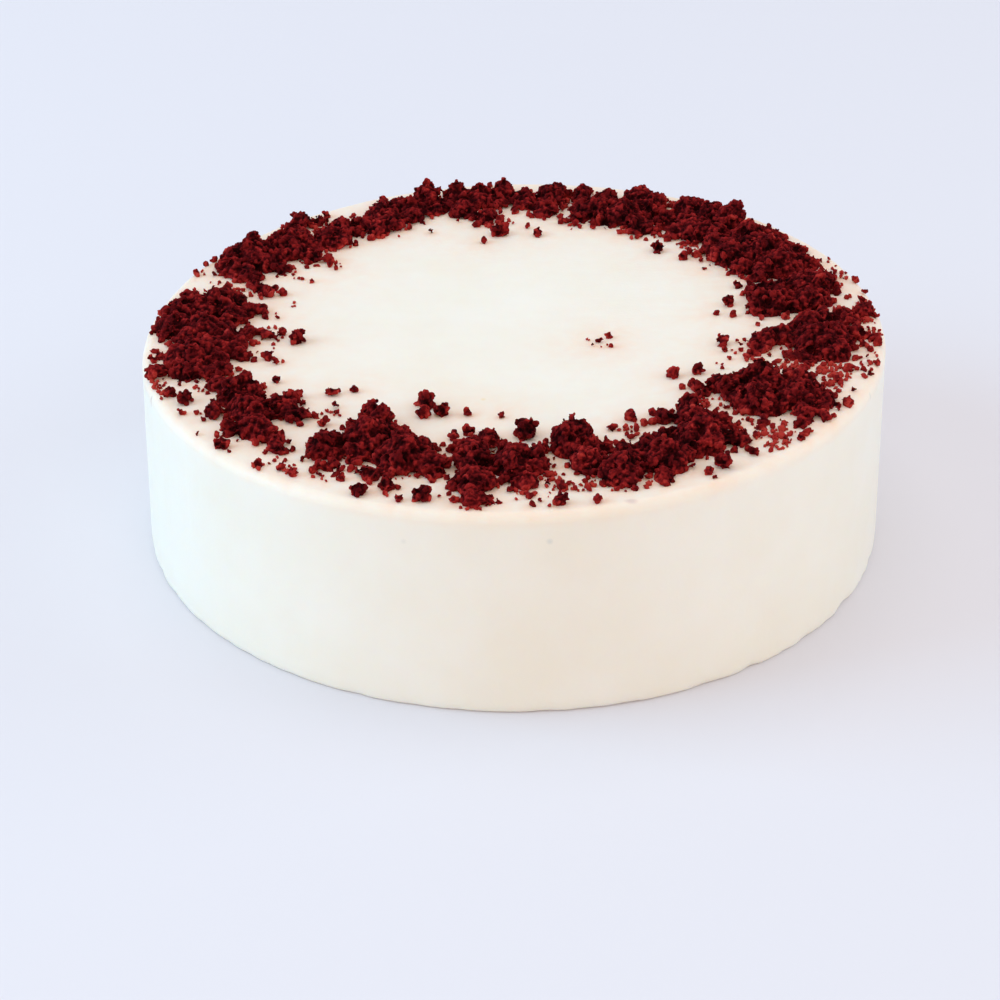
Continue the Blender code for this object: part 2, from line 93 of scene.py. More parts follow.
# How the frosting departs from its plain form, in millimetres where no unit is given. A layer of noise is its
# features' size, its height, and a shift that sets it off from the others
NOISE_SHIFT = (1.0, 0.7, -1.3)
SIDE_LAYERS = [(45 * MM, 0.22, 0.0), (13 * MM, 0.10, 5.0)]
SCRAPER_LAYERS = [(4 * MM, 0.035, 9.0)]
SCRAPER_STRETCH = 0.25
DIP_LAYERS = [(50 * MM, 0.18, 7.0)]
STROKE_LAYERS = [(14 * MM, 0.07, 3.0)]
STROKE_STRETCH = 0.35
RIM_LAYERS = [(22 * MM, 0.26, 13.0), (6 * MM, 0.12, 17.0)]
RIM_BAND = 3.5 * RIM_ROUND
RIM_BAND_HEIGHT = 5 * MM
BELOW_TOP = 0.1 * MM
SIDE_SHRINK = 0.30
TOP_SHRINK = 0.12
LEAST_SHRINK = 0.02
TOP_DROP = 0.15

# The ragged foot: noise kept in a range, and where it is more ragged, as (angle, spread in degrees, how much)
FOOT_BAND = 2.6 * MM
FOOT_SHRINK = 0.25
FOOT_LAYERS = [(5.5 * MM, 1.6, 21.0)]
FOOT_RANGE = (-0.25, 1.0)
FOOT_RAGGED = 0.35
RAGGED_PLACES = [(318.0, 26.0, 0.65), (249.6, 2.0, 0.5)]

# The crumbs' grain: the skin's noise, which is kept low in its largest layer so that it cuts in more than out
LARGE_GRAIN = (3.6 * MM, 4.0)
LARGE_GRAIN_TOP = 0.1
LARGE_GRAIN_DEPTH = 1.1
GRAIN_LAYERS = [(1.7 * MM, 0.24, 1.0), (0.8 * MM, 0.28, 2.0), (0.5 * MM, 0.18, 3.0)]
GRAIN_SWELL = 0.02

# The crumbs
VOXEL = 0.39 * MM
STRAY_VOXEL = 0.33 * MM
EDGE_VOXEL = 0.42 * MM
ROOM_AT_TOP = 0.02 * MM
HEAP_DROP = 0.45 * MM
UP = Vector((0.0, 0.0, 1.0))
RAY_STEP = 0.001 * MM
# The painted shade in the crumbs' hollows: the rounds of smoothing that find them, and the depth over which
# it darkens
HOLLOW_ROUNDS = 8
HOLLOW_DEPTH = 0.42 * MM
# The height over the frosting within which the crumbs get a painted glow
FROSTING_GLOW_HEIGHT = 2.6 * MM
CLUMP_SIZE = 6.5 * MM
CREASE_SHARE = 0.20
CREASE_DEPTH = 1.7 * MM
CREASE_SHIFT = 41.0
LOOSE_HEIGHT = 2.8 * MM
LOOSE_SIZE = 3.4 * MM
LOOSE_SHIFT = 31.0
LOOSE_FROM = 0.10
TRIES_PER_CUBIC_MM = 2.0
SMALLEST_BALL = 0.42 * MM
LARGEST_BALL = 2.6 * MM
LARGEST_SHARES = (0.6, 1.0)
BALL_SPACING = 0.66
BALL_TONE = 0.55
KNOB_TONE = 0.45
KNOB_COVER = 20
KNOB_LEAST = 3
KNOB_MIDDLE = 1.4 * MM
KNOB_RADII = (0.30 * MM, 0.40 * MM, 0.85 * MM)
KNOB_REACHES = (0.88, 1.30)
GRIT_SHARE = 0.011
GRIT_RADII = (0.20 * MM, 0.30 * MM, 0.60 * MM)
GRIT_LIFTS = (-0.3, 0.5)
GRIT_TONES = (0.1, 1.0)
# The grit's painted shade is one fixed level
GRIT_RELIEF_SHADE = 0.62
GRIT_JITTER = 0.35
GRIT_STRETCH = 0.4
SAME_PLACE = 0.002 * MM

HEAPS = sorted(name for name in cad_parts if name.startswith("crumbs_"))


def top_plane(across):
    """The height of the leaning top at a distance across."""
    return CAKE_HEIGHT + across * math.tan(TOP_LEAN)


def mesh_object(name, points, faces, smooth=True):
    """An object of the given points and faces, shaded smooth or flat."""
    mesh = bpy.data.meshes.new(name)
    mesh.from_pydata(points, [], faces)
    mesh.polygons.foreach_set("use_smooth", [smooth] * len(mesh.polygons))
    mesh.update()
    thing = bpy.data.objects.new(name, mesh)
    bpy.context.scene.collection.objects.link(thing)
    return thing


def points_of(mesh):
    """A mesh's points as rows of numbers."""
    points = np.zeros(len(mesh.vertices) * 3)
    mesh.vertices.foreach_get("co", points)
    return points.reshape(-1, 3)


def normals_of(mesh):
    """A mesh's normals at its points, as rows of numbers."""
    normals = np.zeros(len(mesh.vertices) * 3)
    mesh.vertex_normals.foreach_get("vector", normals)
    return normals.reshape(-1, 3)


def move_points(mesh, points):
    """Puts a mesh's points in new places."""
    mesh.vertices.foreach_set("co", points.ravel())
    mesh.update()


def apply_modifiers(thing):
    """Puts the evaluated mesh in place of the object's own and drops its modifiers."""
    depsgraph = bpy.context.evaluated_depsgraph_get()
    finished = bpy.data.meshes.new_from_object(thing.evaluated_get(depsgraph))
    thing.modifiers.clear()
    rough = thing.data
    thing.data = finished
    bpy.data.meshes.remove(rough)


def add_value(mesh, name, values):
    """A number for each point of the mesh, which its material reads by name."""
    attribute = mesh.attributes.new(name, "FLOAT", "POINT")
    attribute.data.foreach_set("value", np.asarray(values, np.float32))


def noise_at(points, size, shift=0.0):
    """Smooth noise from -1 to 1 at each point, with features of this size."""
    offset = Vector([shift * part for part in NOISE_SHIFT])
    return np.array([noise.noise(Vector(point) / size + offset) for point in points])


def layered_noise(points, layers, start=0.0):
    """Several layers of noise added to a start value, in millimetres."""
    total = start
    for size, height, shift in layers:
        total = total + noise_at(points, size, shift) * height
    return total


def creases_at(points):
    """How deep each point lies in a crease between two clumps: 1 in its middle, 0 on the clumps."""
    level = np.abs(noise_at(points, CLUMP_SIZE, CREASE_SHIFT))
    return np.clip(1.0 - level / CREASE_SHARE, 0.0, 1.0)


# Frosting


def frosting_outline():
    """Half the cake's outline from the middle of the top to the middle of the base, as (radius, height)."""
    outline = []
    for step in range(1, INNER_TOP_RINGS):
        outline.append((WREATH_INSIDE * step / INNER_TOP_RINGS, CAKE_HEIGHT))
    rim_centre = RIM_RADIUS - RIM_ROUND
    for step in range(OUTER_TOP_RINGS):
        outline.append((WREATH_INSIDE + (rim_centre - WREATH_INSIDE) * step / OUTER_TOP_RINGS, CAKE_HEIGHT))
    for step in range(RIM_RINGS + 1):
        turn = math.radians(90 - 90 * step / RIM_RINGS)
        outline.append((rim_centre + RIM_ROUND * math.cos(turn),
                        CAKE_HEIGHT - RIM_ROUND + RIM_ROUND * math.sin(turn)))
    for step in range(1, SIDE_RINGS):
        share = step / SIDE_RINGS
        outline.append((RIM_RADIUS + (BASE_RADIUS - RIM_RADIUS) * share,
                        CAKE_HEIGHT - RIM_ROUND + (FOOT_ROUND - CAKE_HEIGHT + RIM_ROUND) * share))
    for step in range(FOOT_RINGS + 1):
        turn = math.radians(-90 * step / FOOT_RINGS)
        outline.append((BASE_RADIUS - FOOT_ROUND + FOOT_ROUND * math.cos(turn),
                        FOOT_ROUND + FOOT_ROUND * math.sin(turn)))
    return np.array(outline)


def frosting_mesh():
    """The frosted cake in its plain form, as one closed skin on rings."""
    outline = frosting_outline()
    turns = np.linspace(0.0, math.tau, TURN_STEPS, endpoint=False)
    radius, turn = np.meshgrid(outline[:, 0], turns, indexing="ij")
    height = np.repeat(outline[:, 1:2], TURN_STEPS, axis=1)
    points = np.stack([radius * np.cos(turn), radius * np.sin(turn), height], axis=-1).reshape(-1, 3)
    rings = len(outline)
    faces = []
    for ring in range(rings - 1):
        for step in range(TURN_STEPS):
            after = (step + 1) % TURN_STEPS
            faces.append((ring * TURN_STEPS + step, (ring + 1) * TURN_STEPS + step,
                          (ring + 1) * TURN_STEPS + after, ring * TURN_STEPS + after))
    middle = len(points)
    points = np.vstack([points, [[0.0, 0.0, CAKE_HEIGHT]]])
    for step in range(TURN_STEPS):
        faces.append((middle, step, (step + 1) % TURN_STEPS))
    last = (rings - 1) * TURN_STEPS
    faces.append(tuple(last + step for step in reversed(range(TURN_STEPS))))
    return points, faces


def inward(points, level, around):
    """How far the scraper's waves and the ragged foot draw each point in, in millimetres."""
    on_side = (level > RIM_RADIUS - RIM_ROUND) & (points[:, 2] < CAKE_HEIGHT - BELOW_TOP)
    scraped = np.column_stack([around[:, :2], points[:, 2] * SCRAPER_STRETCH])
    waves = layered_noise(around, SIDE_LAYERS) + layered_noise(scraped, SCRAPER_LAYERS)
    shrink = np.where(on_side, SIDE_SHRINK + waves, TOP_SHRINK)
    foot = np.clip(1.0 - points[:, 2] / FOOT_BAND, 0.0, 1.0) * on_side
    ragged = np.clip(layered_noise(around, FOOT_LAYERS), *FOOT_RANGE)
    shrink += foot * (FOOT_SHRINK + ragged * foot_raggedness(np.arctan2(points[:, 1], points[:, 0])))
    return np.maximum(shrink, LEAST_SHRINK)


def upward(points, level, around):
    """How far the spatula's strokes and the wandering rim lift each point of the top, in millimetres."""
    rim_height = CAKE_HEIGHT - RIM_ROUND
    near_rim = np.clip((level - (RIM_RADIUS - RIM_BAND)) / RIM_BAND, 0.0, 1.0)
    near_rim *= np.clip((points[:, 2] - (rim_height - RIM_BAND_HEIGHT)) / RIM_BAND_HEIGHT, 0.0, 1.0)
    along_strokes = np.column_stack([points[:, 0] * STROKE_STRETCH, points[:, 1], np.zeros(len(points))])
    dips = layered_noise(points, DIP_LAYERS) + layered_noise(along_strokes, STROKE_LAYERS)
    wander = layered_noise(around, RIM_LAYERS)
    on_top = points[:, 2] > rim_height
    return np.where(on_top, dips * (1.0 - near_rim) + wander * near_rim - TOP_DROP, 0.0)


def uneven_frosting(points):
    """Moves the skin as the spatula and the scraper did: waves, a wandering rim and a ragged foot."""
    level = np.hypot(points[:, 0], points[:, 1])
    outward = points[:, :2] / np.maximum(level, MM)[:, None]
    around = np.column_stack([outward * BASE_RADIUS, np.zeros(len(points))])
    radius = level - inward(points, level, around) * MM * np.clip(level / RIM_RADIUS, 0.0, 1.0)
    moved = points.copy()
    moved[:, :2] = outward * radius[:, None]
    moved[:, 2] += upward(points, level, around) * MM
    return moved


def foot_raggedness(turn):
    """How ragged the lower edge is at an angle: most at the front right."""
    degrees = np.degrees(turn) % 360.0
    total = FOOT_RAGGED
    for angle, spread, more in RAGGED_PLACES:
        total = total + more * np.exp(-((degrees - angle) / spread) ** 2)
    return total


def lean_top(points):
    """Tips the top up towards +X, as in the frame."""
    leaning = points.copy()
    share = np.minimum(points[:, 2] / CAKE_HEIGHT, 1.0)
    leaning[:, 2] += points[:, 0] * math.tan(TOP_LEAN) * share
    return leaning


def make_frosting(crumb_tree):
    """The frosting, with each point's nearness to a crumb for the faint peach tint round the crumbs: partly
    their real stain, partly painted warm shade.
    """
    points, faces = frosting_mesh()
    points = lean_top(uneven_frosting(points))
    frosting = mesh_object("frosting", points.tolist(), faces)
    near = np.array([crumb_tree.find(Vector((x, y, 0.0)))[2] for x, y, z in points])
    below = top_plane(points[:, 0]) - points[:, 2]
    # Peach tint: partly the crumbs' stain, partly painted warm shade round them
    stain_and_shade = STAIN_AND_SHADE_SHARES[0] * np.exp(-near / STAIN_AND_SHADE_REACHES[0])
    stain_and_shade += STAIN_AND_SHADE_SHARES[1] * np.exp(-near / STAIN_AND_SHADE_REACHES[1])
    stain_and_shade *= np.clip(1.0 - below / STAIN_AND_SHADE_DEPTH, 0.0, 1.0)
    add_value(frosting.data, "stain_and_shade", stain_and_shade)
    frosting.data.materials.append(frosting_material())
    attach(frosting, "root")
    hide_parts("frosted_cake")


# Lumps and grains

# The clumps in the seams between two heaps, and the clumps at the heaps' edges
SEAM_TRIES = 30000
SEAM_RADII = (58 * MM, 101.5 * MM)
SEAM_TURNS = 8
SEAM_REACH = 1.5 * MM
SEAM_SPACING = 1.3 * MM
SEAM_LOWEST = 0.5 * MM
SEAM_STEP = 1.5 * MM
SEAM_SHIFT = 0.25 * MM
SEAM_BODIES = (0.75 * MM, 1.1 * MM, 1.5 * MM)
EDGE_SHARE = 0.26
EDGE_SPACING = 3.4 * MM
EDGE_BODIES = (0.40 * MM, 0.65 * MM, 1.4 * MM)
EDGE_LIFT = 0.5

# A clump: a body with knobs, of which a larger body has more
CLUMP_BODY = 0.8
CLUMP_STRETCH = 0.2
CLUMP_KNOBS = 9
CLUMP_KNOB_STEP = 0.13 * MM
CLUMP_KNOB_SHARES = (0.28, 0.54)
CLUMP_KNOB_RADII = (0.3 * MM, 1.0 * MM)
CLUMP_REACHES = (0.78, 1.22)

# A stray crumb: its clump's body as a share of its solid's width, and its lift as shares of that body
STRAY_LOWEST = 0.05 * MM
STRAY_BODY = 0.84
STRAY_TOP = 1.05
STRAY_LIFT = 0.7


def sphere_template(detail):
    """Points and faces of a ball of radius 1."""
    shape = bmesh.new()
    bmesh.ops.create_icosphere(shape, subdivisions=detail, radius=1.0)
    points = np.array([vertex.co[:] for vertex in shape.verts])
    faces = np.array([[vertex.index for vertex in face.verts] for face in shape.faces])
    shape.free()
    return points, faces


def random_turns(count, draw):
    """Random rotations, one for each lump."""
    quaternion = draw.normal(size=(count, 4))
    quaternion /= np.linalg.norm(quaternion, axis=1)[:, None]
    w, x, y, z = quaternion.T
    return np.array([
        [1 - 2 * (y * y + z * z), 2 * (x * y - z * w), 2 * (x * z + y * w)],
        [2 * (x * y + z * w), 1 - 2 * (x * x + z * z), 2 * (y * z - x * w)],
        [2 * (x * z - y * w), 2 * (y * z + x * w), 1 - 2 * (x * x + y * y)],
    ]).transpose(2, 0, 1)


def lumps(centres, radii, draw, detail=1, jitter=0.2, stretch=0.25):
    """Rough balls at the centres, as points and faces."""
    template, faces = sphere_template(detail)
    count = len(centres)
    shapes = template[None] * draw.uniform(1 - jitter, 1 + jitter, size=(count, len(template), 1))
    shapes = shapes * draw.uniform(1 - stretch, 1 + stretch, size=(count, 1, 3))
    shapes = np.einsum("kij,kvj->kvi", random_turns(count, draw), shapes)
    points = shapes * np.asarray(radii)[:, None, None] + np.asarray(centres)[:, None, :]
    offsets = np.arange(count)[:, None, None] * len(template)
    return points.reshape(-1, 3), (faces[None] + offsets).reshape(-1, 3)


def joined(parts):
    """Several (points, faces) as one."""
    points, faces, start = [], [], 0
    for part_points, part_faces in parts:
        points.append(part_points)
        faces.append(np.asarray(part_faces) + start)
        start += len(part_points)
    return np.vstack(points), np.vstack(faces)


def triangles_of(mesh):
    """A mesh's triangles as rows of point numbers."""
    mesh.calc_loop_triangles()
    corners = np.zeros(len(mesh.loop_triangles) * 3, np.int64)
    mesh.loop_triangles.foreach_get("vertices", corners)
    return corners.reshape(-1, 3)


def merged(points, faces):
    """The same surface with its doubled points made one."""
    keys = np.round(points / SAME_PLACE).astype(np.int64)
    _, first, back = np.unique(keys, axis=0, return_index=True, return_inverse=True)
    faces = back.ravel()[faces]
    whole = (faces[:, 0] != faces[:, 1]) & (faces[:, 1] != faces[:, 2]) & (faces[:, 2] != faces[:, 0])
    return points[first], faces[whole]


def voxel_skin(name, points, faces, voxel):
    """One closed skin round all the given closed shapes."""
    thing = mesh_object(name, points.tolist(), faces.tolist())
    remesh = thing.modifiers.new("skin", "REMESH")
    remesh.mode = "VOXEL"
    remesh.voxel_size = voxel
    remesh.use_smooth_shade = True
    apply_modifiers(thing)
    return thing


def standing_out(mesh, points):
    """How far each point stands out of the surface round it: over 0 on a knob, under 0 in a hollow."""
    edges = np.zeros(len(mesh.edges) * 2, np.int64)
    mesh.edges.foreach_get("vertices", edges)
    first, second = edges.reshape(-1, 2).T
    count = np.bincount(first, minlength=len(points)) + np.bincount(second, minlength=len(points))
    smooth = points
    for _ in range(HOLLOW_ROUNDS):
        total = np.empty_like(smooth)
        for axis in range(3):
            total[:, axis] = np.bincount(first, smooth[second, axis], len(points))
            total[:, axis] += np.bincount(second, smooth[first, axis], len(points))
        smooth = total / count[:, None]
    return ((points - smooth) * normals_of(mesh)).sum(axis=1)


def add_looks(mesh, tone, relief_shade, points):
    """The values that the crumbs' material reads: the tone, a painted shade by how far out a point lies, and
    a painted glow by how near it is to the frosting.
    """
    add_value(mesh, "tone", tone)
    add_value(mesh, "relief_shade", relief_shade)
    add_value(mesh, "frosting_glow", frosting_glow_at(points))


def roughen(thing, grain_centres, grain_tones):
    """Breaks the skin up into grains, and gives each point its grain's tone and a painted shade by how deep
    it lies.
    """
    mesh = thing.data
    points = points_of(mesh)
    normals = normals_of(mesh)
    large = np.minimum(noise_at(points, *LARGE_GRAIN), LARGE_GRAIN_TOP) * LARGE_GRAIN_DEPTH
    outwards = layered_noise(points, GRAIN_LAYERS, large) + GRAIN_SWELL
    moved = keep_in_box(points + normals * (outwards * MM)[:, None])
    move_points(mesh, moved)
    tree = KDTree(len(grain_centres))
    for index, centre in enumerate(grain_centres):
        tree.insert(centre, index)
    tree.balance()
    nearest = [tree.find(point)[1] for point in moved]
    # Painted shade and light: darker where a point lies in a hollow, lighter where it stands out
    relief_shade = np.clip(0.5 + standing_out(mesh, moved) / HOLLOW_DEPTH, 0.0, 1.0)
    add_looks(mesh, np.asarray(grain_tones)[nearest], relief_shade, moved)
    mesh.polygons.foreach_set("use_smooth", [True] * len(mesh.polygons))


def frosting_glow_at(points):
    """How near each point is to the frosting, as a share: there the crumbs get a painted glow, as of light
    thrown back by the frosting and let through the thin crumbs.
    """
    return np.clip(1.0 - (points[:, 2] - top_plane(points[:, 0])) / FROSTING_GLOW_HEIGHT, 0.0, 1.0)


def is_inside(surface, place):
    """Whether a place is inside a closed surface: a line straight up from it leaves the surface once more."""
    crossings = 0
    start = Vector(place)
    while True:
        hit = surface.ray_cast(start, UP)[0]
        if hit is None:
            return crossings % 2 == 1
        crossings += 1
        start = hit + UP * RAY_STEP


def packed_balls(points, faces, draw):
    """Balls of several sizes packed inside a closed surface, the largest first, as centres and radii."""
    surface = BVHTree.FromPolygons(points.tolist(), faces.tolist())
    low, high = points.min(axis=0), points.max(axis=0)
    tries = int(np.prod((high - low) / MM) * TRIES_PER_CUBIC_MM)
    inside = []
    for place in draw.uniform(low, high, size=(tries, 3)):
        distance = surface.find_nearest(Vector(place))[3]
        if distance > SMALLEST_BALL and is_inside(surface, place):
            inside.append((min(distance, LARGEST_BALL * draw.uniform(*LARGEST_SHARES)), *place))
    inside = np.array(sorted(inside, reverse=True))
    radii, centres = inside[:, 0], inside[:, 1:]
    kept = []
    for index in range(len(inside)):
        apart = np.linalg.norm(centres[kept] - centres[index], axis=1)
        if not kept or np.all(apart > BALL_SPACING * (radii[kept] + radii[index])):
            kept.append(index)
    return centres[kept], radii[kept]


def knobs_on(centres, radii, draw):
    """Grains that stick out all over the balls, as centres, radii and the number of each one's ball."""
    counts = np.maximum((KNOB_COVER * (radii / KNOB_MIDDLE) ** 2).astype(int), KNOB_LEAST)
    owner = np.repeat(np.arange(len(centres)), counts)
    directions = draw.normal(size=(len(owner), 3))
    directions /= np.linalg.norm(directions, axis=1)[:, None]
    sizes = draw.triangular(*KNOB_RADII, len(owner))
    reach = radii[owner] * draw.uniform(*KNOB_REACHES, len(owner))
    return centres[owner] + directions * reach[:, None], sizes, owner


def grit_places(heap, draw):
    """Places for sharp little grains on a heap's skin, as centres and radii."""
    points, normals = points_of(heap.data), normals_of(heap.data)
    count = int(len(points) * GRIT_SHARE)
    chosen = draw.choice(len(points), count, replace=False)
    radii = draw.triangular(*GRIT_RADII, count)
    lifts = radii * draw.uniform(*GRIT_LIFTS, count)
    return points[chosen] + normals[chosen] * lifts[:, None], radii


def keep_in_box(points):
    """Pulls points that reach out of the frame's box back into it."""
    kept = points.copy()
    kept[:, 2] = np.minimum(kept[:, 2], CAD_BOX[1].z - ROOM_AT_TOP)
    reach = np.hypot(kept[:, 0], kept[:, 1])
    kept[:, :2] /= np.maximum(reach / (BASE_RADIUS - ROOM_AT_TOP), 1.0)[:, None]
    return kept


def make_grit(places, finish):
    """The sharp little grains that lie all over the heaps."""
    draw = np.random.default_rng(GRIT_SEED)
    centres = np.vstack([centres for centres, radii in places])
    radii = np.concatenate([radii for centres, radii in places])
    points, faces = lumps(centres, radii, draw, jitter=GRIT_JITTER, stretch=GRIT_STRETCH)
    grit = mesh_object("crumb_grit", keep_in_box(points).tolist(), faces.tolist(), smooth=False)
    tones = np.repeat(draw.uniform(*GRIT_TONES, len(centres)), len(points) // len(centres))
    # The grit: one level of painted shade, and a painted glow by its height over the frosting
    add_looks(grit.data, tones, np.full(len(points), GRIT_RELIEF_SHADE), points)
    grit.data.materials.append(finish)
    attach(grit, "root")


def in_thick_or_by_chance(centres, above):
    """Which places lie in a heap's thick parts, or in the parts of its thin ones that aren't bare."""
    plan = centres * (1.0, 1.0, 0.0)
    bare = noise_at(plan, LOOSE_SIZE, LOOSE_SHIFT) > LOOSE_FROM
    heights = []
    for across, along in centres[:, :2]:
        hit = above.hit(across, along)
        heights.append(0.0 if hit is None else hit[1])
    return (np.array(heights) > LOOSE_HEIGHT) | ~bare


def make_heap(index, name, above, finish):
    """One heap: real crumbs packed in its solid's form, each a ball with knobs, resting in the frosting."""
    draw = np.random.default_rng(SEED + index)
    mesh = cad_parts[name].data
    points, faces = merged(points_of(mesh), triangles_of(mesh))
    centres, radii = packed_balls(points, faces, draw)
    kept = in_thick_or_by_chance(centres, above)
    centres, radii = centres[kept], radii[kept]
    centres[:, 2] -= HEAP_DROP
    knobs, knob_radii, owner = knobs_on(centres, radii, draw)
    centres[:, 2] -= creases_at(centres) * CREASE_DEPTH
    knobs[:, 2] -= creases_at(knobs) * CREASE_DEPTH
    parts = [lumps(centres, radii, draw, detail=2), lumps(knobs, knob_radii, draw)]
    heap = voxel_skin(name + "_loose", *joined(parts), VOXEL)
    tones = BALL_TONE * draw.random(len(centres))[owner] + KNOB_TONE * draw.random(len(knobs))
    roughen(heap, knobs, tones)
    heap.data.materials.append(finish)
    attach(heap, "root")
    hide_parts(name)
    return grit_places(heap, draw)


def islands_of(faces, wanted):
    """The wanted points in groups, each of which the faces' edges hold together."""
    group = np.arange(len(wanted))

    def root(item):
        while group[item] != item:
            group[item] = group[group[item]]
            item = group[item]
        return item

    for face in faces:
        for first, second in ((face[0], face[1]), (face[1], face[2])):
            if wanted[first] and wanted[second]:
                group[root(first)] = root(second)
    islands = {}
    for index in np.flatnonzero(wanted):
        islands.setdefault(root(index), []).append(index)
    return list(islands.values())


def stray_places():
    """Where the frame's stray crumbs lie: each as (place on the frosting, half its size across, height)."""
    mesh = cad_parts["frosted_cake"].data
    points, faces = merged(points_of(mesh), triangles_of(mesh))
    level = points[:, 2] - top_plane(points[:, 0])
    found = []
    for members in islands_of(faces, level > STRAY_LOWEST):
        low, high = points[members].min(axis=0), points[members].max(axis=0)
        middle = (low + high) / 2
        half = (high - low)[:2] / 2
        found.append((middle[0], middle[1], max(half), level[members].max()))
    return sorted(found)


def clump_parts(middle, body, draw):
    """A knobbly clump round a middle, as its closed shapes and its grains' centres."""
    knobs = CLUMP_KNOBS + int(body / CLUMP_KNOB_STEP)
    directions = draw.normal(size=(knobs, 3))
    directions /= np.linalg.norm(directions, axis=1)[:, None]
    radii = np.clip(draw.uniform(*CLUMP_KNOB_SHARES, knobs) * body, *CLUMP_KNOB_RADII)
    centres = middle + directions * (body * draw.uniform(*CLUMP_REACHES, knobs))[:, None]
    core = lumps([middle], [body * CLUMP_BODY], draw, detail=2, stretch=CLUMP_STRETCH)
    return [core, lumps(centres, radii, draw)], centres


def make_clumps(name, clumps, voxel, draw, finish):
    """A piece of many clumps, each given as (its middle, its body's radius)."""
    parts, grain_centres = [], []
    for middle, body in clumps:
        shapes, centres = clump_parts(middle, body, draw)
        parts.extend(shapes)
        grain_centres.extend(centres)
    piece = voxel_skin(name, *joined(parts), voxel)
    roughen(piece, grain_centres, draw.random(len(grain_centres)))
    piece.data.materials.append(finish)
    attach(piece, "root")
    return piece


def make_strays(finish):
    """The stray crumbs: each a knobbly clump at its place in the frame."""
    draw = np.random.default_rng(STRAY_SEED)
    clumps = []
    for across, along, half, height in stray_places():
        body = half * STRAY_BODY
        lift = min(height - body * STRAY_TOP, body * STRAY_LIFT)
        clumps.append((np.array([across, along, top_plane(across) + lift]), body))
    strays = make_clumps("stray_crumbs", clumps, STRAY_VOXEL, draw, finish)
    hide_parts("frosted_cake")


def round_about(place, reach):
    """Places all round one, at a distance."""
    turns = np.linspace(0.0, math.tau, SEAM_TURNS, endpoint=False)
    return [(place[0] + reach * math.cos(turn), place[1] + reach * math.sin(turn)) for turn in turns]


def heaps_round(spot, above):
    """The heaps round about a place in plan, each with its greatest height there."""
    heights = {}
    for near in round_about(spot, SEAM_REACH):
        hit = above.hit(*near)
        if hit is not None:
            heap, height = hit
            heights[heap] = max(heights.get(heap, 0.0), height)
    return heights


def seam_clumps(spot, top, draw):
    """A pile of clumps that closes the thin gap between two heaps up to a height."""
    clumps = []
    level = SEAM_LOWEST
    while level < top - SEAM_LOWEST:
        body = draw.triangular(*SEAM_BODIES)
        shift = draw.normal(0.0, SEAM_SHIFT, 2)
        clumps.append((np.array([spot[0] + shift[0], spot[1] + shift[1], top_plane(spot[0]) + level]), body))
        level += SEAM_STEP
    return clumps


def seam_and_edge_clumps(above, draw):
    """Clumps that close the thin gaps between two heaps, and clumps that lie against the heaps' edges."""
    clumps, taken = [], []
    low, high = zip(SEAM_RADII, (0.0, math.tau))
    for radius, turn in draw.uniform(low, high, size=(SEAM_TRIES, 2)):
        spot = (radius * math.cos(turn), radius * math.sin(turn))
        if above.hit(*spot) is not None or any(math.dist(spot, other) < apart for other, apart in taken):
            continue
        heights = heaps_round(spot, above)
        if len(heights) > 1:
            taken.append((spot, SEAM_SPACING))
            clumps.extend(seam_clumps(spot, min(heights.values()), draw))
        elif heights and draw.random() < EDGE_SHARE:
            taken.append((spot, EDGE_SPACING))
            body = draw.triangular(*EDGE_BODIES)
            clumps.append((np.array([*spot, top_plane(spot[0]) + body * EDGE_LIFT]), body))
    return clumps


def crumb_plan_tree():
    """All the heaps' and stray crumbs' points in plan, for finding what lies near them."""
    plans = []
    for name in HEAPS:
        plans.append(points_of(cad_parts[name].data)[:, :2])
    plans.append(np.array([[across, along] for across, along, half, height in stray_places()]))
    plan = np.vstack(plans)
    tree = KDTree(len(plan))
    for index, (across, along) in enumerate(plan):
        tree.insert((across, along, 0.0), index)
    tree.balance()
    return tree


class HeapsFromAbove:
    """The heaps' surfaces, for finding the heap over a place in plan and its height there."""

    def __init__(self):
        parts = []
        for name in HEAPS:
            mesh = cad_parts[name].data
            parts.append((points_of(mesh), triangles_of(mesh)))
        points, faces = joined(parts)
        self.heap_of_face = np.repeat(np.arange(len(parts)), [len(part_faces) for _, part_faces in parts])
        self.surface = BVHTree.FromPolygons(points.tolist(), faces.tolist())

    def hit(self, across, along):
        """The heap's number and its height over the frosting, or nothing."""
        place, _, face, _ = self.surface.ray_cast(Vector((across, along, 2 * CAKE_HEIGHT)), -UP)
        if place is None:
            return None
        return self.heap_of_face[face], place.z - top_plane(across)


# The fine grains. Radii with no unit are in millimetres, and a lift is a share of the grain's radius
FRINGE_DECAY = 1.3 * MM
FRINGE_GROUPS = 170
FRINGE_BAND = (60 * MM, 102.5 * MM)
GROUP_SIZES = (1, 7)
GROUP_SPREAD = 1.3 * MM
FINE_RADII = (0.24, 0.36, 0.95)
FINE_LIFT = 0.35
FINE_OUTERMOST = RIM_RADIUS - RIM_ROUND * 0.6
FINE_ROUGHNESS = 0.35
FINE_TONES = (0.35, 1.0)
# The fine grains' painted shade is one fixed level
FINE_RELIEF_SHADE = 0.75
PATCH_RADII = (0.25, 0.4)

